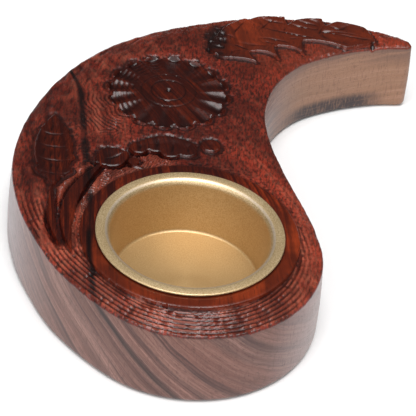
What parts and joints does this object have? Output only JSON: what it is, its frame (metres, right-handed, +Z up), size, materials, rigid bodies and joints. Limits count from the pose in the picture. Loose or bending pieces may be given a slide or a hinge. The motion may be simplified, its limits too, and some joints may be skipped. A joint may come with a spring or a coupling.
{
  "type": "incense burner",
  "caption": "Paisley-shaped carved wooden block with a flanged metal cup hung in a turned pocket, which holds burning incense.",
  "frame": {"origin": "on the base plane, under the axis of the cup", "axes": "+Z up along the cup's axis, +Y from the round end towards the tail, +X towards the side that the tail curls to"},
  "size_m": [0.1121, 0.1507, 0.0238],
  "materials": {
    "carved_wood": "hand carved, stained red-brown on top, clear lacquer on the sides",
    "gold_metal": "satin gold with a fine metallic grain"
  },
  "bodies": {
    "holder": {"block": "carved_wood"},
    "cup": {"cup": "gold_metal"}
  },
  "joints": [
    {"name": "cup_lift", "type": "slide", "parent": "holder", "child": "cup", "axis": [0, 0, 1], "range_m": [0, 0.02]}
  ]
}
